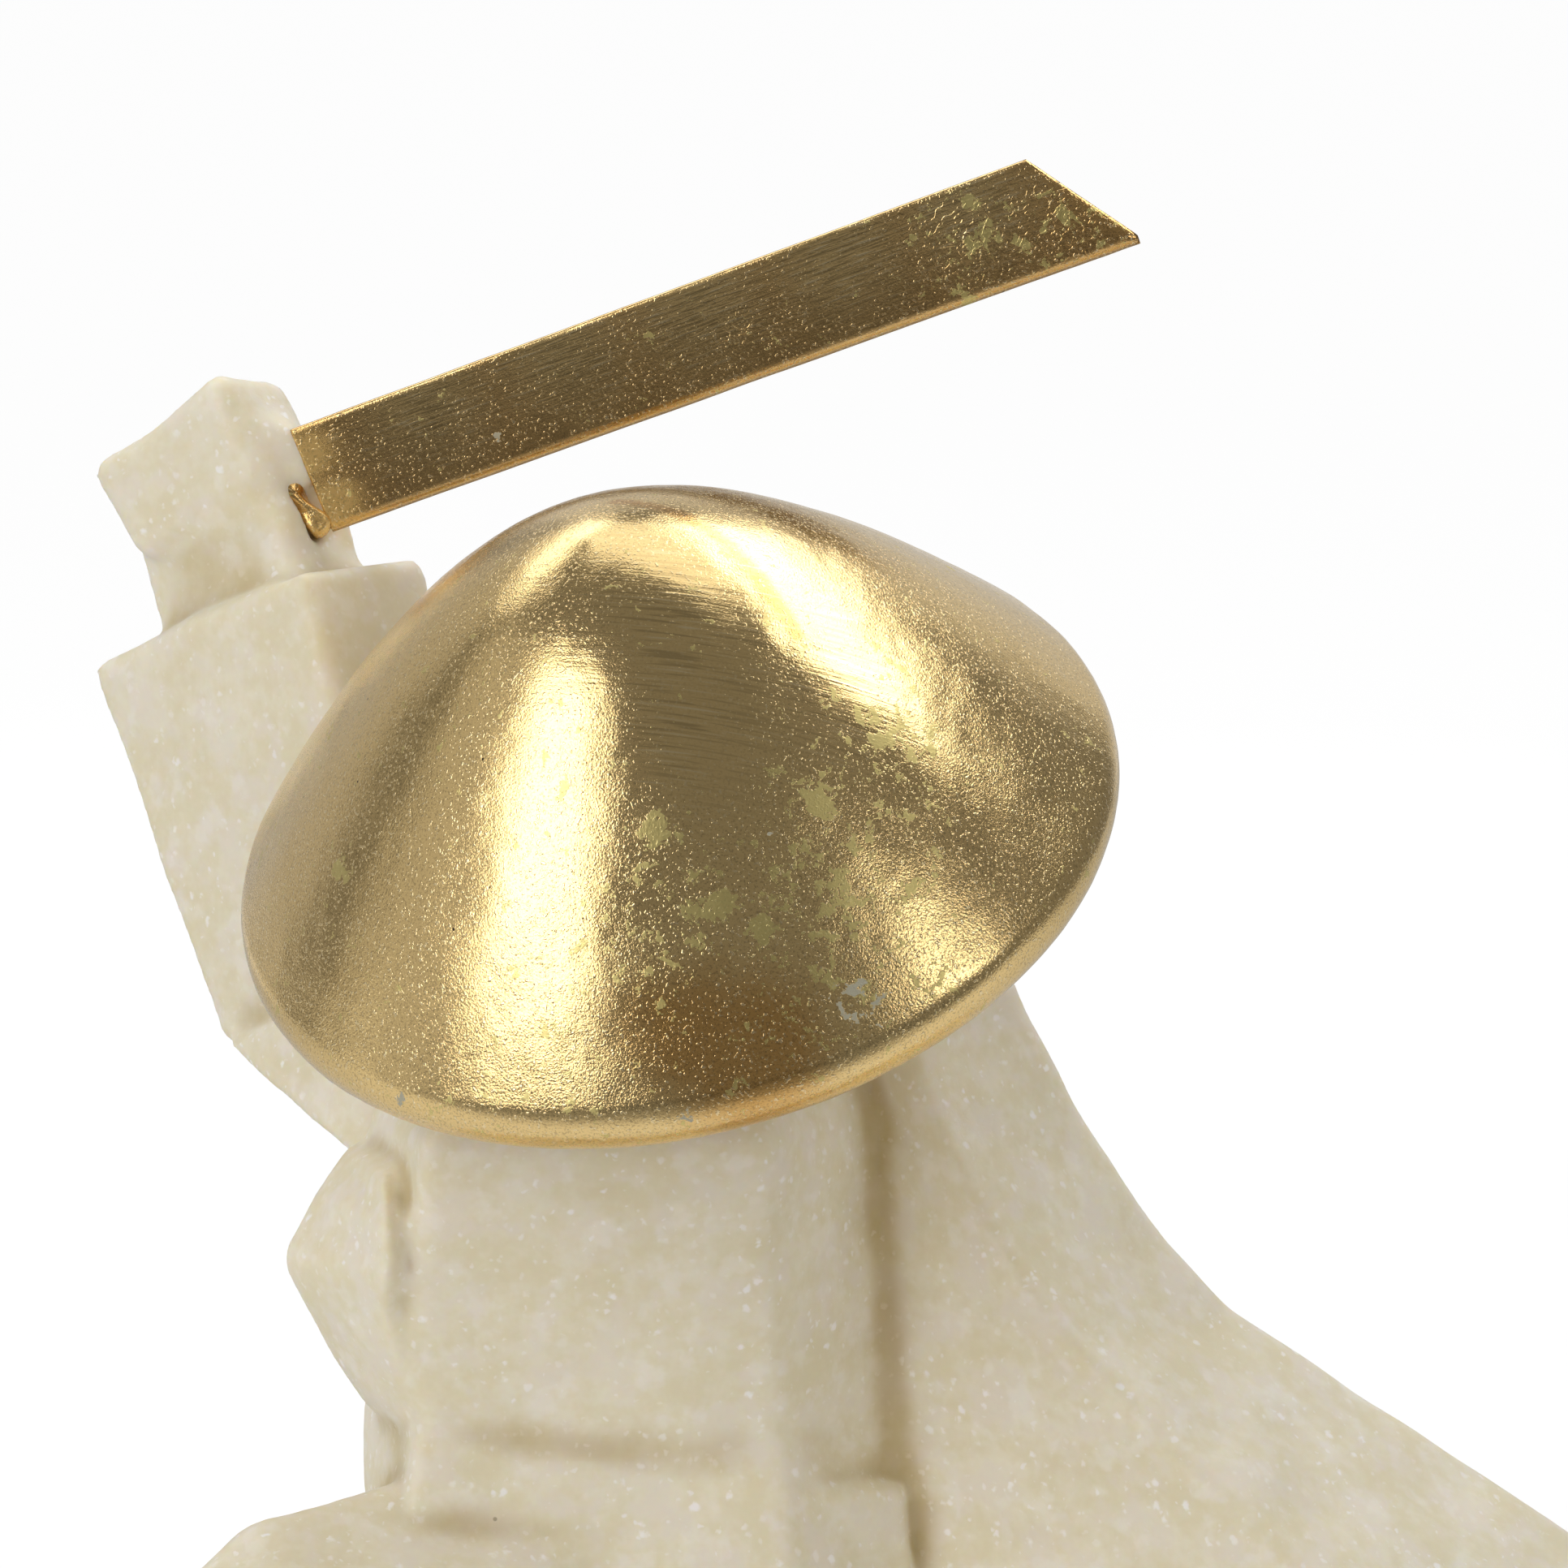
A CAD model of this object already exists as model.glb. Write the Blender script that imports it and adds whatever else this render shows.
"""Samurai statuette: the finish of the cast stone figure, the gilt hat and the gilt blade, and the studio.

Metres, +Z up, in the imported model's own frame: the viewer stands on the -Y side. Each finished piece takes the
place of one node, and rides on the root body. Shapes are worked out with numpy, and finishes with shader nodes.
"""

import logging
import math
from dataclasses import dataclass
from enum import Enum
from typing import Any

import bmesh
import bpy
import numpy as np
from mathutils import Matrix, Vector


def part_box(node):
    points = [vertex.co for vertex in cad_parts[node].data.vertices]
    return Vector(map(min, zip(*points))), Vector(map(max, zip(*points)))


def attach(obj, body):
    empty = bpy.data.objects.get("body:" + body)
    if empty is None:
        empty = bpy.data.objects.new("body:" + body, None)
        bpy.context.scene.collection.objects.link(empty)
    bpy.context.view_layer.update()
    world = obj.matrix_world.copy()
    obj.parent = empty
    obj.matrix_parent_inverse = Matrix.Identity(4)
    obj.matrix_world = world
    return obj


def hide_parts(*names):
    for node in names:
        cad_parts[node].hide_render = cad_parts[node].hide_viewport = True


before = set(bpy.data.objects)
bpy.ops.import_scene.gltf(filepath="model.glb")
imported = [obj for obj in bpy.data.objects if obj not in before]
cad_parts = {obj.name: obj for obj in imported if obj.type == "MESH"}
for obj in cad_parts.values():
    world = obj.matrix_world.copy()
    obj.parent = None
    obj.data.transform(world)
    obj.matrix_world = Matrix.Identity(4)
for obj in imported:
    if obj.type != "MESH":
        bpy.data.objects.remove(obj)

LOG = logging.getLogger("statuette")
BODY = "root"
MM = 0.001
Colour = tuple[float, float, float, float]
Triple = tuple[float, float, float]
Places = tuple[tuple[float, float, float, float], ...]  # centre and reach of each spot, in millimetres


def rgb(red: float, green: float, blue: float) -> Colour:
    """A linear colour with full alpha."""
    return (red, green, blue, 1.0)


class Leaf(Enum):
    """How the metal leaf lies on a piece."""

    CRINKLED = "crinkled"
    BURNISHED = "burnished"


# Shader nodes


@dataclass(frozen=True)
class Socket:
    """An output of a node. Arithmetic on it adds Math nodes to the same tree."""

    tree: "Nodes"
    output: bpy.types.NodeSocket

    def _maths(self, operation: str, *terms: Any) -> "Socket":
        """Add one Math node over some terms."""
        return self.tree.add("ShaderNodeMath", {"operation": operation}, dict(enumerate(terms)))

    def __add__(self, other: Any) -> "Socket":
        """Sum."""
        return self._maths("ADD", self, other)

    def __sub__(self, other: Any) -> "Socket":
        """Difference."""
        return self._maths("SUBTRACT", self, other)

    def __rsub__(self, other: Any) -> "Socket":
        """Difference, with the number first."""
        return self._maths("SUBTRACT", other, self)

    def __mul__(self, other: Any) -> "Socket":
        """Product."""
        return self._maths("MULTIPLY", self, other)

    def __truediv__(self, other: Any) -> "Socket":
        """Quotient."""
        return self._maths("DIVIDE", self, other)

    __radd__ = __add__
    __rmul__ = __mul__

    def larger(self, other: Any) -> "Socket":
        """The larger of two values."""
        return self._maths("MAXIMUM", self, other)

    def step(self, low: float, high: float) -> "Socket":
        """Zero below low, one above high, and a smooth rise between; low above high turns it round."""
        return self.tree.add(
            "ShaderNodeMapRange", {"interpolation_type": "SMOOTHSTEP", "clamp": True},
            {"Value": self, "From Min": low, "From Max": high, "To Min": 0.0, "To Max": 1.0},
        )


class Nodes:
    """The node tree of one material."""

    def __init__(self, name: str) -> None:
        """Make the material with its Principled shader.

        Args:
            name: The material's name.
        """
        self.material = bpy.data.materials.new(name)
        self.material.use_nodes = True
        self.shader = self.material.node_tree.nodes["Principled BSDF"]

    def add(self, kind: str, settings: dict[str, Any] | None = None, sockets: dict[Any, Any] | None = None,
            output: int = 0) -> Socket:
        """Add any node.

        Args:
            kind: The node's type.
            settings: Its own properties, with "stops" for a ramp's (place, colour) pairs.
            sockets: Values or links for its inputs, by name or index.
            output: The index of the output that is wanted.

        Returns:
            That output.
        """
        node = self.material.node_tree.nodes.new(kind)
        for name, value in (settings or {}).items():
            if name == "stops":
                while len(node.color_ramp.elements) < len(value):
                    node.color_ramp.elements.new(1.0)
                for element, (place, colour) in zip(node.color_ramp.elements, value):
                    element.position, element.color = place, colour
            else:
                setattr(node, name, value)
        for key, value in (sockets or {}).items():
            self._fill(node.inputs[key], value)
        return Socket(self, node.outputs[output])

    def _fill(self, target: bpy.types.NodeSocket, value: Any) -> None:
        """Link or set one input."""
        if isinstance(value, Socket):
            self.material.node_tree.links.new(value.output, target)
        else:
            target.default_value = value

    def surface(self, **sockets: Any) -> None:
        """Set or link the shader's own sockets; an underscore in a name stands for a space."""
        for name, value in sockets.items():
            self._fill(self.shader.inputs[name.replace("_", " ")], value)

    def place(self) -> Socket:
        """Object coordinates in metres."""
        return self.add("ShaderNodeTexCoord", output=3)

    def attribute(self, name: str, vector: bool = False) -> Socket:
        """A mesh attribute, as a value or as a vector."""
        return self.add("ShaderNodeAttribute", {"attribute_name": name}, output=1 if vector else 2)

    def moved(self, vector: Socket, amount: Socket, reach: float) -> Socket:
        """A vector shifted by a noise colour.

        Args:
            vector: The vector to shift.
            amount: The noise colour.
            reach: Twice the furthest shift each way, in metres.

        Returns:
            The shifted vector.
        """
        centred = self.add("ShaderNodeVectorMath", {"operation": "SUBTRACT"}, {0: amount, 1: (0.5, 0.5, 0.5)})
        scaled = self.add("ShaderNodeVectorMath", {"operation": "SCALE"}, {0: centred, "Scale": reach})
        return self.add("ShaderNodeVectorMath", {"operation": "ADD"}, {0: vector, 1: scaled})

    def stretched(self, vector: Socket, scale: Triple) -> Socket:
        """A vector scaled by a Mapping node."""
        return self.add("ShaderNodeMapping", {"vector_type": "TEXTURE"}, {
            "Vector": vector, "Scale": tuple(1.0 / size for size in scale),
        })

    def noise(self, vector: Socket, size: float, detail: float = 2.0, roughness: float = 0.5,
              colour: bool = False) -> Socket:
        """Noise, as a value near 0.5 or as a colour.

        Args:
            vector: Where to read it.
            size: The size of its lumps in metres.
            detail: How many finer layers it has.
            roughness: How strong the finer layers are.
            colour: Whether the colour is wanted.

        Returns:
            The value or the colour.
        """
        return self.add("ShaderNodeTexNoise", {"noise_dimensions": "3D"}, {
            "Vector": vector, "Scale": 1.0 / size, "Detail": detail, "Roughness": roughness,
        }, output=1 if colour else 0)

    def cells(self, vector: Socket, size: float) -> tuple[Socket, Socket]:
        """Voronoi cells about size metres across: the distance from the nearest centre, and the colour."""
        sockets = {"Vector": vector, "Scale": 1.0 / size}
        distance = self.add("ShaderNodeTexVoronoi", {"feature": "F1"}, sockets)
        return distance, Socket(self, distance.output.node.outputs[1])

    def channel(self, colour: Socket, index: int) -> Socket:
        """One channel of a colour."""
        return self.add("ShaderNodeSeparateColor", {}, {0: colour}, output=index)

    def blend(self, share: Any, first: Any, second: Any, kind: str = "MIX") -> Socket:
        """Mix two colours by a share."""
        settings = {"data_type": "RGBA", "blend_type": kind}
        return self.add("ShaderNodeMix", settings, {0: share, 6: first, 7: second}, output=2)

    def dots(self, vector: Socket, spacing: float, radius: float, kept: float, blur: float = 0.35) -> Socket:
        """Irregular dots: round each Voronoi centre, in the share of cells that is kept, with unequal sizes.

        Args:
            vector: Where to read the pattern.
            spacing: The distance between cells in metres.
            radius: The largest dot's radius as a share of the spacing.
            kept: The share of cells that hold a dot.
            blur: The width of a dot's soft edge as a share of its radius.

        Returns:
            A mask, one inside a dot.
        """
        distance, tint = self.cells(vector, spacing)
        chance, swell = self.channel(tint, 0), self.channel(tint, 1)
        edge = (swell * 0.65 + 0.35) * radius
        inside = (distance - edge) / (radius * blur)
        return inside.step(0.5, -0.5) * chance.step(kept + 0.01, kept - 0.01)

    def bump(self, height: Socket, strength: float, distance: float, normal: Socket | None = None) -> Socket:
        """A Bump node over a height, on top of another where one is given.

        Args:
            height: The height, about zero to one.
            strength: How much of the bump shows.
            distance: The real height of one, in metres.
            normal: The bump below it.

        Returns:
            The bumped normal.
        """
        sockets: dict[Any, Any] = {"Height": height, "Strength": strength, "Distance": distance}
        if normal is not None:
            sockets["Normal"] = normal
        return self.add("ShaderNodeBump", {}, sockets)


# Meshes


def waves(points: np.ndarray, short: float, long: float, count: int, seed: int) -> np.ndarray:
    """Smooth random relief: the mean of plane sine waves in random directions, scaled to about one.

    Args:
        points: Places in metres, one in each row.
        short: The shortest wavelength in metres.
        long: The longest wavelength in metres.
        count: How many waves are summed.
        seed: The seed of the random directions and phases.

    Returns:
        The height at each place, about -2 to 2.
    """
    rng = np.random.default_rng(seed)
    aim = rng.normal(size=(count, 3))
    aim /= np.linalg.norm(aim, axis=1, keepdims=True)
    length = short * (long / short) ** rng.random(count)
    phase = rng.random(count) * math.tau
    height = np.zeros(len(points))
    for way, size, start in zip(aim, length, phase):
        height += np.sin(points @ way * (math.tau / size) + start)
    return height * math.sqrt(2.0 / count)


def spots(points: np.ndarray, places: Places) -> np.ndarray:
    """Soft round spots: the largest of exp(-(d / reach) squared) over the distance d from each place.

    Args:
        points: Places in metres, one in each row.
        places: The centre and the reach of each spot in millimetres.

    Returns:
        The mask at each point, one in the middle of a spot.
    """
    centres = np.array([place[:3] for place in places]) * MM
    reach = np.array([place[3] for place in places]) * MM
    away = np.linalg.norm(points[:, None, :] - centres[None], axis=2)
    return np.exp(-(away / reach) ** 2).max(axis=1)


def new_piece(name: str, mesh: bpy.types.Mesh, material: bpy.types.Material) -> bpy.types.Object:
    """Link a finished mesh, shade it smooth and give it its material.

    Args:
        name: The object's name.
        mesh: Its mesh, with its place in it.
        material: Its finish.

    Returns:
        The object.
    """
    piece = bpy.data.objects.new(name, mesh)
    bpy.context.scene.collection.objects.link(piece)
    mesh.shade_smooth()
    mesh.materials.clear()
    mesh.materials.append(material)
    return piece


def closed_rings(name: str, rings: np.ndarray, first: np.ndarray, last: np.ndarray) -> bpy.types.Mesh:
    """A closed surface over rings of points, with a pole at each end and faces that point outwards.

    Args:
        name: The mesh's name.
        rings: Points in rows of closed rings, as rows by columns by three.
        first: The pole before the first ring.
        last: The pole after the last ring.

    Returns:
        The mesh.
    """
    rows, columns = rings.shape[:2]
    points = np.vstack([first[None], rings.reshape(-1, 3), last[None]])
    here = 1 + np.arange(rows * columns).reshape(rows, columns)
    beside = np.roll(here, -1, axis=1)
    quads = np.stack([here[:-1], here[1:], beside[1:], beside[:-1]], axis=-1).reshape(-1, 4)
    top = np.stack([np.zeros(columns, int), here[0], beside[0]], axis=-1)
    bottom = np.stack([np.full(columns, len(points) - 1), beside[-1], here[-1]], axis=-1)
    mesh = bpy.data.meshes.new(name)
    mesh.from_pydata(points.tolist(), [], quads.tolist() + top.tolist() + bottom.tolist())
    body = bmesh.new()
    body.from_mesh(mesh)
    if body.calc_volume(signed=True) < 0.0:
        bmesh.ops.reverse_faces(body, faces=body.faces)
    body.to_mesh(mesh)
    body.free()
    return mesh


def read_points(mesh: bpy.types.Mesh, layer: str = "co") -> np.ndarray:
    """The mesh's points or vertex normals as an array of rows."""
    values = np.empty(len(mesh.vertices) * 3, np.float32)
    mesh.vertices.foreach_get(layer, values)
    return values.reshape(-1, 3).astype(float)


def write_points(mesh: bpy.types.Mesh, points: np.ndarray) -> None:
    """Put the points back into the mesh."""
    mesh.vertices.foreach_set("co", points.astype(np.float32).ravel())
    mesh.update()


def write_values(mesh: bpy.types.Mesh, name: str, values: np.ndarray) -> None:
    """Store one value or one vector at each point.

    Args:
        mesh: The mesh that takes them.
        name: The attribute's name.
        values: One value in each place, or one vector in each row.
    """
    wide = values.ndim == 2
    layer = mesh.attributes.new(name, "FLOAT_VECTOR" if wide else "FLOAT", "POINT")
    layer.data.foreach_set("vector" if wide else "value", values.astype(np.float32).ravel())


def write_spots(mesh: bpy.types.Mesh, points: np.ndarray, **places: Places) -> None:
    """Store each set of soft spots at each point, under the name it is given by."""
    for name, some in places.items():
        write_values(mesh, name, spots(points, some))


def neighbours(mesh: bpy.types.Mesh) -> tuple[np.ndarray, np.ndarray, np.ndarray]:
    """The two ends of each edge, and the number of edges at each point."""
    ends = np.empty(len(mesh.edges) * 2, np.int64)
    mesh.edges.foreach_get("vertices", ends)
    first, second = ends.reshape(-1, 2).T
    count = np.bincount(ends, minlength=len(mesh.vertices)).astype(float)
    return first, second, np.maximum(count, 1.0)


def averaged(values: np.ndarray, web: tuple[np.ndarray, np.ndarray, np.ndarray]) -> np.ndarray:
    """The mean over each point's neighbours.

    Args:
        values: A value or a vector at each point.
        web: What neighbours() gives for the mesh.

    Returns:
        The means, in the shape of the values.
    """
    first, second, count = web
    wide = values.reshape(len(count), -1)
    total = np.empty_like(wide)
    for column in range(wide.shape[1]):
        total[:, column] = (
            np.bincount(first, wide[second, column], len(count))
            + np.bincount(second, wide[first, column], len(count))
        )
    return (total / count[:, None]).reshape(values.shape)


def hand_over(piece: bpy.types.Object, node: str) -> bpy.types.Object:
    """Let a finished piece stand for a node.

    Args:
        piece: The piece.
        node: The node that it replaces.

    Returns:
        The piece.
    """
    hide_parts(node)
    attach(piece, BODY)
    LOG.info("%s: %d faces, stands for %s", piece.name, len(piece.data.polygons), node)
    return piece


# Finishes


@dataclass(frozen=True)
class CastStone:
    """Translucent cream marble resin: cloudy ground, pale crystals, a few dark grains and yellow creases."""

    pale: Colour = rgb(0.87, 0.81, 0.655)
    deep: Colour = rgb(0.80, 0.725, 0.52)
    rosy: Colour = rgb(0.84, 0.765, 0.655)
    crystal: Colour = rgb(0.97, 0.925, 0.875)
    crease: Colour = rgb(0.62, 0.50, 0.25)
    grain: Colour = rgb(0.26, 0.21, 0.12)
    roughness: float = 0.46
    crystal_spacing: float = 2.8 * MM
    scatter_reach: float = 3.2 * MM

    def material(self) -> bpy.types.Material:
        """Build the stone's nodes."""
        tree = Nodes("cast_stone")
        place = tree.place()
        ground = tree.noise(place, 16 * MM, 3.0, 0.55) * 0.55 + tree.noise(place, 3.4 * MM, 2.0, 0.6) * 0.45
        colour = tree.blend(ground.step(0.36, 0.66), self.deep, self.pale)
        clouds = tree.noise(place, 8 * MM, 3.0, 0.6).step(0.46, 0.64)
        colour = tree.blend(clouds * 0.65, colour, self.rosy)

        ragged = tree.moved(place, tree.noise(place, 1.6 * MM, 2.0, colour=True), 1.9 * MM)
        crowd = tree.noise(place, 14 * MM, 2.0).step(0.38, 0.60)
        large = tree.dots(ragged, self.crystal_spacing, 0.27, 0.52, 0.75) * (crowd * 0.60 + 0.36)
        medium = tree.dots(ragged, self.crystal_spacing * 0.6, 0.28, 0.50, 0.75) * (crowd * 0.50 + 0.24)
        haze = tree.noise(ragged, 5.2 * MM, 2.0, 0.5).step(0.52, 0.70) * 0.30
        crystals = large.larger(medium).larger(haze)
        colour = tree.blend(crystals, colour, self.crystal)

        grains = tree.dots(place, 12 * MM, 0.035, 0.22)
        colour = tree.blend(grains * 0.6, colour, self.grain)

        crease = tree.attribute("crease") * (tree.noise(place, 6 * MM, 2.0) * 0.5 + 0.75)
        colour = tree.blend(crease.step(0.0, 1.0) * 0.72, colour, self.crease, "MULTIPLY")

        pits = tree.noise(place, 1.1 * MM, 3.0, 0.6).step(0.36, 0.5)
        skin = tree.bump(pits, 0.10, 0.12 * MM)
        skin = tree.bump(tree.noise(place, 7 * MM, 3.0, 0.5), 0.22, 0.5 * MM, skin)
        shine = crystals * -0.14 + (tree.noise(place, 5 * MM, 2.0) * 0.16 + (self.roughness - 0.08))
        tree.surface(Base_Color=colour, Roughness=shine, Normal=skin, Subsurface_Weight=0.55,
                     Subsurface_Scale=self.scatter_reach, Subsurface_Radius=(1.0, 0.72, 0.38),
                     Subsurface_Anisotropy=0.2, IOR=1.5, Specular_IOR_Level=0.38)
        return tree.material


@dataclass(frozen=True)
class GoldLeaf:
    """Worn gold-coloured metal leaf: crinkles, brush lines, matt flakes, brown tint, grey spots and pits."""

    name: str
    lay: Leaf
    bright: Colour = rgb(0.87, 0.635, 0.285)
    stained: Colour = rgb(0.66, 0.35, 0.09)
    stain_matt: float = 0.0
    flake: Colour = rgb(0.70, 0.60, 0.23)
    worn: Colour = rgb(0.44, 0.41, 0.30)
    pit: Colour = rgb(0.10, 0.075, 0.04)
    shaded: Colour = rgb(0.66, 0.36, 0.11)
    gleam: Colour = rgb(1.0, 0.86, 0.55)
    unbrushed: float = 0.0
    roughness: float = 0.15
    flakes_from: float = 0.585
    grain_size: float = 0.40 * MM
    grain_height: float = 0.062 * MM
    glint: float = 0.5
    thread: float = 0.0

    def material(self) -> bpy.types.Material:
        """Build the leaf's nodes, over the piece's own "path" attribute: across, across and along the brush."""
        tree = Nodes(self.name)
        place, path = tree.place(), tree.attribute("path", vector=True)
        wear, flaky, stain, brushed = (tree.attribute(name) for name in ("wear", "flaky", "stain", "brushed"))
        peeled, crumpled = tree.attribute("peeled"), tree.attribute("crumpled")

        lumps = tree.moved(place, tree.noise(place, 4 * MM, 2.0, colour=True), 2.4 * MM)
        torn = tree.noise(lumps, 3.4 * MM, 4.0, 0.72)
        where = tree.noise(place, 30 * MM, 1.0)
        likely = torn + where * 0.16 + flaky * 0.12 + peeled * 0.26
        flakes = likely.step(self.flakes_from + 0.13, self.flakes_from + 0.165)
        specks = tree.noise(place, 1.1 * MM, 2.0, 0.6).step(0.64, 0.69) * flaky.step(0.15, 0.70)
        matt = flakes.larger(specks * 0.8)

        bare = (tree.noise(lumps, 2.6 * MM, 3.0, 0.65) * 0.9 + wear * 0.34).step(0.74, 0.80)
        pits = tree.dots(place, 5.2 * MM, 0.055, 0.30)

        tint = (tree.noise(place, 24 * MM, 2.0, 0.6) * 0.5 + torn * 0.3 + stain * 0.55).step(0.46, 0.92)
        colour = tree.blend((1.0 - brushed) * self.unbrushed, self.bright, self.shaded)
        colour = tree.blend(tint * 0.75, colour, self.stained)

        grain = tree.noise(place, self.grain_size, 2.0, 0.62)
        patches = tree.noise(place, 11 * MM, 2.0, 0.6).step(0.36, 0.62) * 0.35 + 0.65
        glints = tree.noise(place, 0.55 * MM, 1.0, 0.5).step(0.58, 0.72)
        long_way = (1.0, 1.0, 26.0) if self.lay is Leaf.CRINKLED else (1.0, 1.0, 60.0)
        lines = tree.noise(tree.stretched(path, long_way), 14 * MM, 2.0, 0.55)
        dark = (grain.step(0.50, 0.34) * (1.0 - brushed * 0.7)).larger(lines.step(0.50, 0.36) * brushed)
        light = (glints * (1.0 - brushed * 0.6)).larger(lines.step(0.56, 0.70) * brushed)
        colour = tree.blend(dark * 0.34, colour, self.pit)
        colour = tree.blend(light * 0.50, colour, self.gleam)

        colour = tree.blend(matt * 0.75, colour, self.flake)
        colour = tree.blend(bare, colour, self.worn)
        colour = tree.blend(pits, colour, self.pit)

        middle = tree.noise(lumps, 2.4 * MM, 2.0, 0.5) - 0.5
        threads = middle.larger(middle * -1.0).step(0.05, 0.0) * crumpled
        uneven = (grain * patches + glints * self.glint) * (1.0 - brushed * 0.7)
        height = uneven + lines * (brushed * 0.75 + 0.12)
        skin = tree.bump(height + threads * self.thread, 1.0, self.grain_height)
        skin = tree.bump(matt.larger(bare) - pits * 2.0, 0.25, 0.05 * MM, skin)
        shine = matt * 0.22 + bare * 0.30 + (tree.noise(place, 9 * MM, 2.0) * 0.12 + (self.roughness - 0.06))
        tree.surface(Base_Color=colour, Metallic=1.0 - bare * 0.75 - tint * self.stain_matt,
                     Roughness=shine + tint * (self.stain_matt * 0.6), Normal=skin)
        return tree.material


# The stone figure


@dataclass
class StoneFigure:
    """The cast figure: the node's own shape with rounded edges, hand-worked faces and a crease map."""

    node: str = "stone_figure"
    voxel: float = 1.05 * MM
    rounding_steps: int = 9
    head_rounding_steps: int = 2
    head_reach: float = 30 * MM
    head_rise: float = 0.35
    head_clear: float = 0.6
    wobble: float = 0.16 * MM
    most_faces: int = 185000
    grip_low: Triple = (-15.0 * MM, -1.0 * MM, -0.5 * MM)
    grip_high: Triple = (-1.2 * MM, 6.0 * MM, 9.6 * MM)
    ledge_low: Triple = (-8.0 * MM, -20.0 * MM, -1.2 * MM)
    ledge_high: Triple = (6.0 * MM, -1.2 * MM, 9.2 * MM)
    knuckles: tuple[tuple[float, float, float, float, float, float], ...] = (
        (-137.9, 271.9, 9.0, -4.2, 0.0, 0.5), (-129.3, 270.1, 6.0, -1.6, 0.0, 1.4),
        (-162.0, 256.3, 7.0, -1.1, 0.0, 0.0), (-148.0, 267.7, 6.0, -0.7, 0.0, 0.8),
    )
    wrist: Places = ((-141.0, 61.0, 246.0, 25.0),)
    wrist_steps: int = 70
    weld_gap: float = 0.002 * MM
    base_top: float = 12.5 * MM
    full_crease: float = 0.75 * MM
    crease_steps: int = 26
    crease_blur: int = 6
    finish: CastStone = CastStone()

    def beside_blade(self, low: Triple, high: Triple) -> Matrix:
        """The matrix that makes a unit cube a box beside the blade.

        Args:
            low: The box's lowest corner in the blade's own axes, in metres.
            high: Its highest corner.

        Returns:
            The matrix.
        """
        blade = GiltBlade()
        first, last = Vector(low), Vector(high)
        return (
            Matrix.Translation(blade.root) @ Matrix(blade.axes().tolist()).to_4x4()
            @ Matrix.Translation((first + last) / 2) @ Matrix.Diagonal((*(last - first), 1.0))
        )

    def welded(self) -> bpy.types.Mesh:
        """A merged copy of the node's loose triangles, with the fist closed round the tang by a block."""
        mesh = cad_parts[self.node].data.copy()
        mesh.name = "cast_figure"
        body = bmesh.new()
        body.from_mesh(mesh)
        bmesh.ops.remove_doubles(body, verts=body.verts, dist=self.weld_gap)
        bmesh.ops.create_cube(body, size=1.0, matrix=self.beside_blade(self.grip_low, self.grip_high))
        body.to_mesh(mesh)
        body.free()
        return mesh

    def ledge_cutter(self) -> bpy.types.Object:
        """The box that leaves a ledge in the fist behind the blade's root."""
        mesh = bpy.data.meshes.new("ledge_cutter")
        body = bmesh.new()
        bmesh.ops.create_cube(body, size=1.0, matrix=self.beside_blade(self.ledge_low, self.ledge_high))
        body.to_mesh(mesh)
        body.free()
        cutter = bpy.data.objects.new("ledge_cutter", mesh)
        bpy.context.scene.collection.objects.link(cutter)
        return cutter

    def knuckled(self, mesh: bpy.types.Mesh) -> None:
        """Draw the fist's upper corners out: each shift fades as exp(-(d / reach) squared), seen along Y."""
        points = read_points(mesh)
        moved = points.copy()
        for side, up, reach, *shift in self.knuckles:
            away = np.hypot(points[:, 0] - side * MM, points[:, 2] - up * MM)
            moved += np.exp(-(away / (reach * MM)) ** 2)[:, None] * np.array(shift) * MM
        write_points(mesh, moved)

    def eased_wrist(self, mesh: bpy.types.Mesh) -> None:
        """Fill the hard crease between wrist and fist: points near it only move outwards to their mean."""
        web = neighbours(mesh)
        points = read_points(mesh)
        near = spots(points, self.wrist)
        for _ in range(self.wrist_steps):
            normal = read_points(mesh, "normal")
            outward = np.einsum("ij,ij->i", averaged(points, web) - points, normal)
            points += normal * (np.maximum(outward, 0.0) * near)[:, None]
            write_points(mesh, points)

    def remeshed(self, mesh: bpy.types.Mesh) -> bpy.types.Mesh:
        """The same shape as even small quads, with the ledge cut out of it.

        Args:
            mesh: The welded shape.

        Returns:
            A new mesh.
        """
        carrier = bpy.data.objects.new("cast_carrier", mesh)
        bpy.context.scene.collection.objects.link(carrier)
        cutter = self.ledge_cutter()
        ledge = carrier.modifiers.new("Ledge", "BOOLEAN")
        ledge.operation = "DIFFERENCE"
        ledge.solver = "EXACT"
        ledge.use_self = True
        ledge.object = cutter
        even = carrier.modifiers.new("Even", "REMESH")
        even.mode = "VOXEL"
        even.voxel_size = self.voxel
        even.adaptivity = 0.0
        made = bpy.data.meshes.new_from_object(carrier.evaluated_get(bpy.context.evaluated_depsgraph_get()))
        bpy.data.objects.remove(carrier)
        bpy.data.objects.remove(cutter)
        return made

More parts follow.
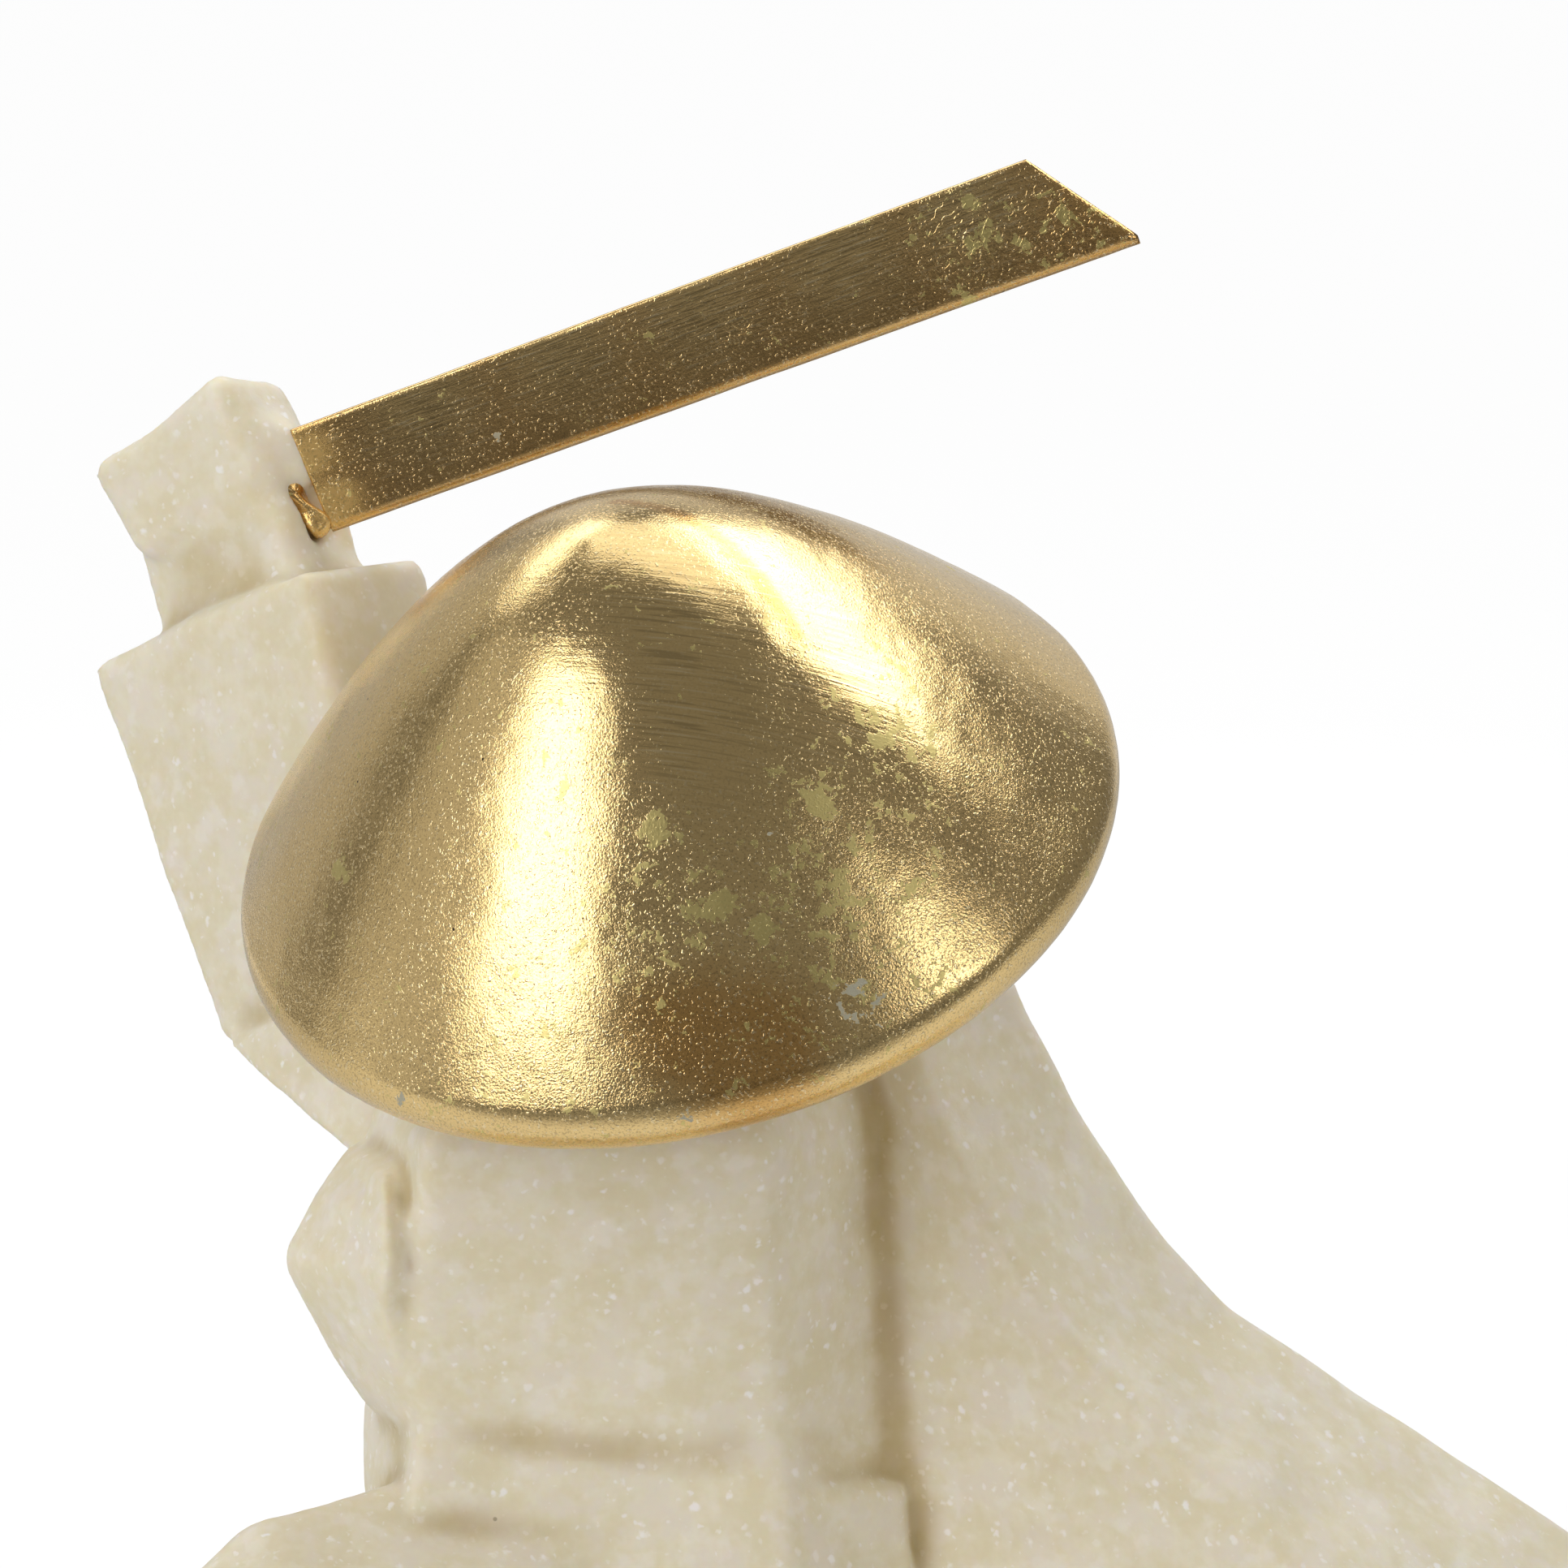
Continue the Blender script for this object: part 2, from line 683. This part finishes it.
    def rounded(self, mesh: bpy.types.Mesh) -> None:
        """Round the edges by averaging, less on the head, and add the slow wobble of hand-worked faces."""
        web = neighbours(mesh)
        points = read_points(mesh)
        low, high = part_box("gilt_hat")
        level = low.z + (high.z - low.z) * self.head_rise
        head = np.array([(low.x + high.x) / 2, (low.y + high.y) / 2, level])
        away = np.linalg.norm(points - head, axis=1) / self.head_reach
        away = np.clip(away - self.head_clear, 0.0, 1.0)
        for step in range(self.rounding_steps):
            share = np.ones_like(away) if step < self.head_rounding_steps else away
            points += (averaged(points, web) - points) * (0.5 * share)[:, None]
        write_points(mesh, points)
        height = waves(points, 14 * MM, 40 * MM, 28, 5) * self.wobble
        points += read_points(mesh, "normal") * (height * (points[:, 2] > self.base_top))[:, None]
        write_points(mesh, points)

    def creases(self, mesh: bpy.types.Mesh) -> None:
        """Store how deep each point lies in a crease: how far the wider average stands off along the normal."""
        web = neighbours(mesh)
        points = read_points(mesh)
        wide = points.copy()
        for _ in range(self.crease_steps):
            wide = averaged(wide, web)
        depth = np.einsum("ij,ij->i", wide - points, read_points(mesh, "normal"))
        for _ in range(self.crease_blur):
            depth = averaged(depth, web)
        write_values(mesh, "crease", np.clip(depth / self.full_crease, 0.0, 1.0))

    def build(self) -> bpy.types.Object:
        """Make the figure's piece."""
        mesh = self.remeshed(self.welded())
        self.knuckled(mesh)
        self.eased_wrist(mesh)
        self.rounded(mesh)
        self.creases(mesh)
        piece = new_piece("cast_figure", mesh, self.finish.material())
        sides = sum(len(face.vertices) - 2 for face in mesh.polygons)
        if sides > self.most_faces:
            thin = piece.modifiers.new("Fewer faces", "DECIMATE")
            thin.ratio = self.most_faces / sides
            made = bpy.data.meshes.new_from_object(piece.evaluated_get(bpy.context.evaluated_depsgraph_get()))
            piece.modifiers.clear()
            piece.data = made
            made.shade_smooth()
        return hand_over(piece, self.node)


# The gilt hat


@dataclass
class GiltHat:
    """The hat: a power curve turned about its axis, a rolled rim, and a hollow underside with a flat seat."""

    radius: float = 73.0 * MM
    height: float = 63.0 * MM
    slope_power: float = 1.68
    slope_spread: float = 1.03
    rim_radius: float = 7.2 * MM
    underside_rise: float = 26.0 * MM
    seat_radius: float = 17.0 * MM
    rim_turn: float = 125.0
    centre: Triple = (-63.1 * MM, -24.0 * MM, 204.8 * MM)
    side_lean: float = -14.1
    front_lean: float = 29.3
    columns: int = 460
    crown_rows: int = 120
    rim_rows: int = 34
    under_rows: int = 30
    dents: float = 0.035 * MM
    crinkles: float = 0.011 * MM
    brush_middle: float = -77.3 * MM
    brush_bend: float = 4.25
    worn_places: Places = (
        (24.2, -63.9, 9.4, 6.5), (-6.1, 11.2, 59.8, 1.6), (-50.3, -50.8, 2.0, 3.0), (-6.5, -71.2, 2.0, 3.0),
        (16.7, -46.5, 31.9, 1.2), (13.7, -54.1, 24.8, 1.2),
    )
    peeled_places: Places = (
        (24.8, -41.7, 32.8, 3.2), (-0.8, -44.4, 37.0, 2.4), (6.9, -54.0, 26.4, 2.6), (12.3, -56.6, 22.4, 2.2),
        (-52.1, -19.2, 25.2, 2.6),
    )
    flaky_places: Places = (
        (22.5, -56.3, 19.1, 19.0), (-1.7, -56.0, 24.6, 13.0), (40.0, -30.0, 30.0, 12.0),
    )
    stained_places: Places = (
        (6.1, -69.3, 7.7, 13.0), (-4.0, -66.0, 14.0, 12.0),
    )
    amber_line: Places = (
        (4.6, 11.2, 60.1, 1.6), (13.8, 5.9, 58.8, 2.3), (20.8, -2.5, 55.7, 2.6), (24.9, -10.7, 51.6, 2.3),
        (27.7, -17.6, 47.3, 1.6),
    )
    amber_spots: int = 25
    brushed_places: Places = (
        (11.8, -20.2, 54.2, 20.0), (34.2, -24.6, 39.1, 16.0), (8.3, -33.7, 45.8, 14.0),
    )
    finish: GoldLeaf = GoldLeaf("leaf_on_hat", Leaf.CRINKLED)

    def lean(self) -> np.ndarray:
        """The rotation from the hat's own axes: a lean to the viewer, then one to the left."""
        side = Matrix.Rotation(math.radians(self.side_lean), 3, "Y")
        front = Matrix.Rotation(math.radians(self.front_lean), 3, "X")
        return np.array(side @ front)

    def crown(self, radius: np.ndarray) -> tuple[np.ndarray, np.ndarray]:
        """The crown's curve, H(1 - (r / sR) ^ p).

        Args:
            radius: Distances from the hat's axis in metres.

        Returns:
            The heights, and the angles of the outward normal above the horizontal.
        """
        share = radius / (self.radius * self.slope_spread)
        height = self.height * (1.0 - share ** self.slope_power)
        fall = self.height * self.slope_power * share ** (self.slope_power - 1.0)
        return height, np.arctan2(self.radius * self.slope_spread, fall)

    def rim_start(self) -> float:
        """The radius at which the rolled rim touches the crown, read from a fine table."""
        table = np.linspace(0.5, 1.0, 4001) * self.radius
        reach = table + self.rim_radius * (1.0 - np.cos(self.crown(table)[1]))
        return float(np.interp(self.radius, reach, table))

    def profile(self) -> tuple[np.ndarray, np.ndarray]:
        """Radius and height down the crown, round the rim and up the hollow to the seat."""
        start = self.rim_start()
        crown_radius = start * np.linspace(0.0, 1.0, self.crown_rows + 1)[1:]
        crown_height, _ = self.crown(crown_radius)
        high, first = self.crown(np.array([start]))
        middle = (start - self.rim_radius * math.cos(first[0]), high[0] - self.rim_radius * math.sin(first[0]))
        turn = np.linspace(first[0], -math.radians(self.rim_turn), self.rim_rows + 1)[1:]
        rim_radius = middle[0] + self.rim_radius * np.cos(turn)
        rim_height = middle[1] + self.rim_radius * np.sin(turn)
        share = np.linspace(0.0, 1.0, self.under_rows + 1)[1:]
        under_radius = rim_radius[-1] + (self.seat_radius - rim_radius[-1]) * share
        under_height = rim_height[-1] + (self.underside_rise - rim_height[-1]) * share ** 0.8
        return (
            np.concatenate([crown_radius, rim_radius, under_radius]),
            np.concatenate([crown_height, rim_height, under_height]),
        )

    def amber(self, points: np.ndarray) -> np.ndarray:
        """The amber line over the crown: soft spots strung closely along straight stretches between its places.

        Args:
            points: Places in the hat's own axes in metres.

        Returns:
            The mask at each point.
        """
        knots = np.array(self.amber_line)
        share = np.linspace(0.0, len(knots) - 1.0, self.amber_spots)
        strung = np.stack([np.interp(share, np.arange(len(knots)), column) for column in knots.T], axis=1)
        return spots(points, tuple(map(tuple, strung)))

    def build(self) -> bpy.types.Object:
        """Make the hat's piece."""
        radius, height = self.profile()
        turn = np.linspace(0.0, math.tau, self.columns, endpoint=False)
        way = np.stack([np.cos(turn), np.sin(turn)], axis=-1)
        flat = radius[:, None, None] * way[None]
        rings = np.concatenate([flat, np.broadcast_to(height[:, None, None], flat.shape[:2] + (1,))], axis=-1)
        poles = [np.array([0, 0, self.height]), np.array([0, 0, self.underside_rise])]
        mesh = closed_rings("leaf_hat", rings, *poles)
        points = read_points(mesh)
        relief = waves(points, 11 * MM, 30 * MM, 40, 11) * self.dents
        relief += waves(points, 2.6 * MM, 6 * MM, 80, 12) * self.crinkles
        write_spots(mesh, points, wear=self.worn_places, peeled=self.peeled_places, flaky=self.flaky_places,
                    brushed=self.brushed_places)
        write_values(mesh, "stain", np.maximum(spots(points, self.stained_places), self.amber(points)))
        points += read_points(mesh, "normal") * relief[:, None]
        placed = points @ self.lean().T + np.array(self.centre)
        level = placed[:, 2] + self.brush_bend * (placed[:, 0] - self.brush_middle) ** 2
        write_values(mesh, "path", np.stack([placed[:, 0], np.zeros(len(placed)), level], axis=1))
        write_points(mesh, placed)
        piece = hand_over(new_piece("leaf_hat", mesh, self.finish.material()), "gilt_hat")
        piece.visible_glossy = False
        return piece


# The gilt blade


@dataclass
class GiltBlade:
    """The blade: a flat bar with a crowned face, slanted ends and soft chamfers, with its bead and tang."""

    length: float = 145.0 * MM
    root_width: float = 19.0 * MM
    tip_width: float = 20.0 * MM
    thickness: float = 2.0 * MM
    point_slant: float = 14.4 * MM
    root_reach: float = 2.9 * MM
    root_lean: float = 0.3 * MM
    chamfer: float = 1.4 * MM
    tip_chamfer: float = 1.4 * MM
    blunt: float = 1.1 * MM
    crowning: float = 0.14 * MM
    bead_radius: float = 2.3 * MM
    bead_length: float = 11.6 * MM
    bead_drop: float = 0.3 * MM
    bead_setback: float = 4.8 * MM
    bead_lean: float = 1.6 * MM
    bead_sway: float = 0.75 * MM
    bead_forward: float = 0.6 * MM
    bead_twist: float = 0.13
    bead_steps: int = 40
    tang_sides: int = 24
    tang_width: float = 7.0 * MM
    tang_length: float = 16.0 * MM
    tang_rise: float = 4.2 * MM
    root: Triple = (-123.9 * MM, 54.9 * MM, 255.9 * MM)
    aim: Triple = (16.4 * MM, 44.1 * MM, 307.8 * MM)
    worn_places: Places = ((30.0, -1.0, -3.4, 1.6), (143.0, -1.0, -9.0, 1.2))
    flaky_places: Places = (
        (74.8, -1.0, -0.5, 3.0), (78.2, -1.0, -4.6, 2.6), (118.0, -1.0, 2.0, 12.0), (136.0, -1.0, -2.0, 9.0),
    )
    crumpled_places: Places = (
        (116.0, -1.0, 2.0, 10.0), (132.0, -1.0, -1.0, 11.0), (74.8, -1.0, -0.5, 3.0),
    )
    stained_places: Places = (
        (-1.5, -1.0, 4.5, 6.0), (-1.0, -1.0, -5.0, 6.0), (-5.5, -2.0, -8.0, 4.0),
    )
    brushed_places: Places = (
        (20.0, -1.0, 9.0, 15.0), (45.0, -1.0, 9.0, 15.0), (70.0, -1.0, 9.0, 16.0), (95.0, -1.0, 8.0, 16.0),
        (118.0, -1.0, 8.0, 14.0),
    )
    stations: int = 260
    face_rows: int = 26
    ripple: float = 0.018 * MM
    fine_ripple: float = 0.004 * MM
    tip_ripple: float = 0.010 * MM
    tip_from: float = 0.8
    brush_stretch: float = 26.0
    finish: GoldLeaf = GoldLeaf("leaf_on_blade", Leaf.BURNISHED, bright=rgb(0.80, 0.57, 0.25),
                                stained=rgb(0.92, 0.62, 0.22), stain_matt=0.22, unbrushed=0.70, roughness=0.16,
                                flakes_from=0.60, grain_height=0.060 * MM, glint=0.6, thread=0.7)

    def axes(self) -> np.ndarray:
        """The blade's own axes as columns: from fist to point, away from the viewer, and up its width."""
        ahead = (Vector(self.aim) - Vector(self.root)).normalized()
        across = ahead.cross(Vector((0.0, 1.0, 0.0))).normalized()
        return np.array([ahead, across.cross(ahead), across]).T

    def section(self) -> tuple[np.ndarray, np.ndarray]:
        """The whole section in shares of half its width and depth, -1 to 1, round both faces and edges.

        The front face runs up, the top edge is narrow and rounded, the back face runs down, and the lower edge
        is a chamfer on both sides.

        Returns:
            The width shares and the depth shares.
        """
        half = self.tip_width / 2
        low = self.chamfer / half
        face = np.linspace(-1.0 + low, 0.965, self.face_rows)
        top = np.array([0.99, 1.0, 0.99])
        width = np.concatenate([[-1.0], [-1.0 + low * 0.5], face, top, face[::-1], [-1.0 + low * 0.5]])
        rise = np.ones(self.face_rows)
        depth = np.concatenate([[0.0], [-0.62], -rise, [-0.8, 0.0, 0.8], rise, [0.62]])
        return width, depth

    def bar(self) -> bpy.types.Mesh:
        """The bar: the section carried from the slanted root to the slanted point, thinner at its end."""
        width, depth = self.section()
        gap = np.array([0.0, 0.25, 0.5, 0.75, 1.0]) * self.tip_chamfer
        share = np.concatenate([np.linspace(0.0, 1.0, self.stations), np.ones(len(gap) - 1)])
        back = np.concatenate([np.full(self.stations, gap[-1]), gap[::-1][1:]])
        start = -self.root_reach - self.root_lean * width
        end = np.minimum(self.length - self.point_slant * (1.0 + width) / 2, self.length - self.blunt)
        ahead = start[None] + (end[None] - start[None] - back[:, None]) * share[:, None]
        half = (self.root_width + (self.tip_width - self.root_width) * share) / 2
        across = half[:, None] * width[None]
        thin = np.interp(back, gap, [0.28, 0.50, 0.70, 0.88, 1.0])
        crown = self.crowning * (1.0 - width ** 2) * np.sign(depth)
        deep = (self.thickness / 2 * depth + crown)[None] * thin[:, None]
        rings = np.stack([ahead, deep, across], axis=-1)
        poles = [rings[0].mean(axis=0), rings[-1].mean(axis=0)]
        return closed_rings("leaf_blade", rings, *poles)

    def bead(self) -> bpy.types.Mesh:
        """The rolled bead: a round section carried up between fist and root, swelling, leaning and swaying."""
        share = np.linspace(0.0, 1.0, self.bead_steps)[1:-1]
        turn = np.linspace(0.0, math.tau, self.bead_steps, endpoint=False)
        swell = (1.0 - np.abs(2.0 * share - 1.0) ** 4.0) ** 0.45 * (0.88 + 0.12 * np.sin(share * 9.0))
        bottom = -self.root_width / 2 - self.bead_drop
        twist = 1.0 + self.bead_twist * np.sin(3.0 * turn[None] + 8.0 * share[:, None])
        ring = self.bead_radius * swell[:, None] * twist
        sway = self.bead_sway * np.sin(share * math.tau) - self.bead_setback - self.bead_lean * share
        rings = np.stack([
            sway[:, None] + ring * np.cos(turn), ring * np.sin(turn) - self.bead_forward,
            np.broadcast_to(bottom + self.bead_length * share[:, None], (len(share), len(turn))),
        ], axis=-1)
        ends = [np.array([sway[0], 0.0, bottom]), np.array([sway[-1], 0.0, bottom + self.bead_length])]
        return closed_rings("bead", rings, *ends)

    def tang(self) -> bpy.types.Mesh:
        """The tang: a flat tongue with rounded corners that runs into the fist."""
        turn = np.linspace(0.0, math.tau, self.tang_sides, endpoint=False)
        square = np.stack([np.cos(turn), np.sin(turn)], axis=-1)
        square = np.sign(square) * np.abs(square) ** 0.35
        ahead = np.array([-self.tang_length, -self.tang_length + 0.3 * MM, 3.0 * MM, 4.0 * MM])
        size = np.array([0.8, 1.0, 1.0, 0.8])
        rings = np.stack([
            np.broadcast_to(ahead[:, None], (len(ahead), len(turn))),
            0.45 * self.thickness * size[:, None] * square[None, :, 0],
            0.5 * self.tang_width * size[:, None] * square[None, :, 1] + self.tang_rise,
        ], axis=-1)
        ends = [np.array([reach, 0.0, self.tang_rise]) for reach in (ahead[0], ahead[-1])]
        return closed_rings("tang", rings, *ends)

    def build(self) -> bpy.types.Object:
        """Make the blade's piece from its bar, bead and tang."""
        body = bmesh.new()
        for mesh in (self.bar(), self.bead(), self.tang()):
            body.from_mesh(mesh)
            bpy.data.meshes.remove(mesh)
        mesh = bpy.data.meshes.new("leaf_blade")
        body.to_mesh(mesh)
        body.free()
        points = read_points(mesh)
        relief = waves(points, 12 * MM, 34 * MM, 30, 21) * self.ripple
        near_tip = np.clip((points[:, 0] / self.length - self.tip_from) / (1.0 - self.tip_from), 0.0, 1.0)
        relief += waves(points, 2.4 * MM, 5 * MM, 60, 22) * (self.fine_ripple + self.tip_ripple * near_tip)
        stretch = np.array([1.0, self.brush_stretch, 1.0 / self.brush_stretch])
        write_values(mesh, "path", points[:, [1, 2, 0]] * stretch)
        write_spots(mesh, points, crumpled=self.crumpled_places, wear=self.worn_places, flaky=self.flaky_places,
                    stain=self.stained_places, brushed=self.brushed_places)
        points += read_points(mesh, "normal") * relief[:, None]
        write_points(mesh, points @ self.axes().T + np.array(self.root))
        return hand_over(new_piece("leaf_blade", mesh, self.finish.material()), "gilt_blade")


# The studio


@dataclass
class Studio:
    """The pale floor, the soft lights and the camera at the photo's viewing angle."""

    subject: Triple = (-46.0 * MM, 9.0 * MM, 209.1 * MM)
    distance: float = 1.5
    elevation: float = 8.0
    seen_width: float = 0.26082
    sensor: float = 36.0
    floor_reach: float = 12.0
    floor_gap: float = 2.0 * MM
    wall_height: float = 9.0
    surrounding_glow: float = 0.20
    white_from: float = 0.2
    white_to: float = 0.9
    floor_glow: tuple[tuple[float, float], ...] = (
        (-4.0, 0.30), (-3.0, 0.26), (-1.9, 0.09), (-1.2, 0.07), (-0.65, 0.20), (-0.34, 0.28), (-0.16, 0.78),
        (0.1, 0.62), (0.4, 0.50),
    )

    def camera(self) -> None:
        """A long lens that looks along +Y, a little down."""
        data = bpy.data.cameras.new("view")
        data.sensor_width = self.sensor
        data.lens = self.sensor * self.distance / self.seen_width
        data.clip_start, data.clip_end = 0.05, 60.0
        camera = bpy.data.objects.new("view", data)
        tilt = math.radians(self.elevation)
        back = Vector((0.0, -math.cos(tilt), math.sin(tilt)))
        camera.location = Vector(self.subject) + back * self.distance
        camera.rotation_euler = (math.radians(90.0 - self.elevation), 0.0, 0.0)
        bpy.context.scene.collection.objects.link(camera)
        bpy.context.scene.camera = camera

    def panel(self, name: str, azimuth: float, elevation: float, width: float, height: float, distance: float,
              power: float, mirrored: bool = True) -> None:
        """A soft light seen from the hat at an azimuth to the viewer's right and an elevation, in degrees.

        Args:
            name: The light's name.
            azimuth: The direction, 0 towards the camera and 90 to the right.
            elevation: The height of its centre above the horizon.
            width: Its angular width in degrees.
            height: Its angular height in degrees.
            distance: Its distance in metres.
            power: Its brightness as a radiance.
            mirrored: Whether the leaf mirrors it.
        """
        data = bpy.data.lights.new(name, "AREA")
        data.shape = "RECTANGLE"
        data.size = 2.0 * distance * math.tan(math.radians(width / 2))
        data.size_y = 2.0 * distance * math.tan(math.radians(height / 2))
        data.energy = power * math.pi * data.size * data.size_y
        lamp = bpy.data.objects.new(name, data)
        turn, rise = math.radians(azimuth), math.radians(elevation)
        way = Vector((math.sin(turn) * math.cos(rise), -math.cos(turn) * math.cos(rise), math.sin(rise)))
        lamp.location = Vector(self.subject) + way * distance
        lamp.rotation_mode = "QUATERNION"
        lamp.rotation_quaternion = (-way).to_track_quat("-Z", "Y")
        lamp.visible_camera = False
        lamp.visible_glossy = mirrored
        bpy.context.scene.collection.objects.link(lamp)

    def lights(self) -> None:
        """Strips and panels that the leaf mirrors on all sides and above, and two fills for the stone alone."""
        self.panel("front_fill", -20.0, 26.0, 60.0, 50.0, 1.8, 0.30, mirrored=False)
        self.panel("low_fill", 16.0, 3.0, 40.0, 30.0, 1.8, 0.90, mirrored=False)
        self.panel("left_strip", -44.0, 19.0, 28.0, 42.0, 1.3, 3.1)
        self.panel("left_side", -79.0, 14.0, 34.0, 50.0, 1.5, 0.30)
        self.panel("left_back", -135.0, 14.0, 40.0, 50.0, 1.5, 0.26)
        self.panel("back", 168.0, 18.0, 56.0, 40.0, 1.5, 0.42)
        self.panel("right_strip", 50.0, 18.0, 20.0, 10.0, 1.3, 2.8)
        self.panel("upper_right", 120.0, 54.0, 56.0, 20.0, 1.6, 3.2)
        self.panel("upper_left", -135.0, 50.0, 46.0, 18.0, 1.6, 2.2)
        self.panel("top", 170.0, 78.0, 50.0, 44.0, 1.8, 1.1)

    def world(self) -> None:
        """A dim even surrounding, so that the leaf has something dark to mirror."""
        world = bpy.data.worlds.new("surrounding")
        world.use_nodes = True
        shade = world.node_tree.nodes["Background"]
        shade.inputs["Color"].default_value = rgb(1.0, 0.98, 0.95)
        shade.inputs["Strength"].default_value = self.surrounding_glow
        bpy.context.scene.world = world

    def card(self, name: str, corners: list[Triple], tree: Nodes, seen: bool) -> None:
        """A flat card of the studio, either for the camera alone or for the light and the mirrors alone.

        Args:
            name: The card's name.
            corners: Its corners in order.
            tree: Its finish.
            seen: Whether the camera sees it; such a card lights nothing, shades nothing and isn't mirrored.
        """
        mesh = bpy.data.meshes.new(name)
        mesh.from_pydata(corners, [], [list(range(len(corners)))])
        card = new_piece(name, mesh, tree.material)
        card.visible_camera = seen
        card.visible_glossy = not seen
        card.visible_diffuse = not seen
        card.visible_transmission = not seen
        card.visible_shadow = False

    def seen_floor(self) -> Nodes:
        """Pale floor for the camera: it takes shadows near the figure and turns to even white further out."""
        tree = Nodes("seen_floor")
        place = tree.place()
        away = tree.add("ShaderNodeVectorMath", {"operation": "LENGTH"}, {0: place}, output=1)
        far = away.step(self.white_from, self.white_to)
        tree.surface(
            Base_Color=tree.blend(far, rgb(0.85, 0.85, 0.85), rgb(0.05, 0.05, 0.05)), Roughness=0.95,
            Emission_Color=tree.blend(far, rgb(0.22, 0.22, 0.22), rgb(0.97, 0.97, 0.97)), Emission_Strength=1.0,
            Specular_IOR_Level=0.0,
        )
        return tree

    def lighting_floor(self) -> Nodes:
        """Floor for light and mirrors: bright behind, beside and close in front, darker towards the viewer."""
        tree = Nodes("lighting_floor")
        first, last = self.floor_glow[0][0], self.floor_glow[-1][0]
        share = (tree.channel(tree.place(), 1) - first) / (last - first)
        stops = [((ahead - first) / (last - first), rgb(glow, glow, glow)) for ahead, glow in self.floor_glow]
        tree.surface(
            Base_Color=rgb(0.02, 0.02, 0.02), Roughness=0.95, Emission_Strength=1.0, Specular_IOR_Level=0.0,
            Emission_Color=tree.add("ShaderNodeValToRGB", {"stops": stops}, {0: share}),
        )
        return tree

    def build(self) -> None:
        """Set up the whole studio."""
        reach, high = self.floor_reach, self.wall_height
        corners = [(-reach, -reach), (reach, -reach), (reach, reach), (-reach, reach)]
        self.card("seen_floor", [(*corner, 0.0) for corner in corners], self.seen_floor(), seen=True)
        sunk = [(*corner, -self.floor_gap) for corner in corners]
        self.card("lighting_floor", sunk, self.lighting_floor(), seen=False)
        white = Nodes("white_wall")
        white.surface(Base_Color=rgb(0.0, 0.0, 0.0), Roughness=1.0, Specular_IOR_Level=0.0,
                      Emission_Color=rgb(0.97, 0.97, 0.97), Emission_Strength=1.0)
        for index, (first, second) in enumerate(zip(corners, corners[1:] + corners[:1])):
            self.card(f"wall_{index}", [(*first, 0.0), (*second, 0.0), (*second, high), (*first, high)], white,
                      seen=True)
        self.camera()
        self.lights()
        self.world()
        bpy.context.scene.view_settings.view_transform = "Standard"


def main() -> None:
    logging.basicConfig(level=logging.INFO, format="%(name)s %(message)s")
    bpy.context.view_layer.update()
    Studio().build()
    StoneFigure().build()
    GiltHat().build()
    GiltBlade().build()
    bpy.context.view_layer.update()


if __name__ == "__main__":
    main()
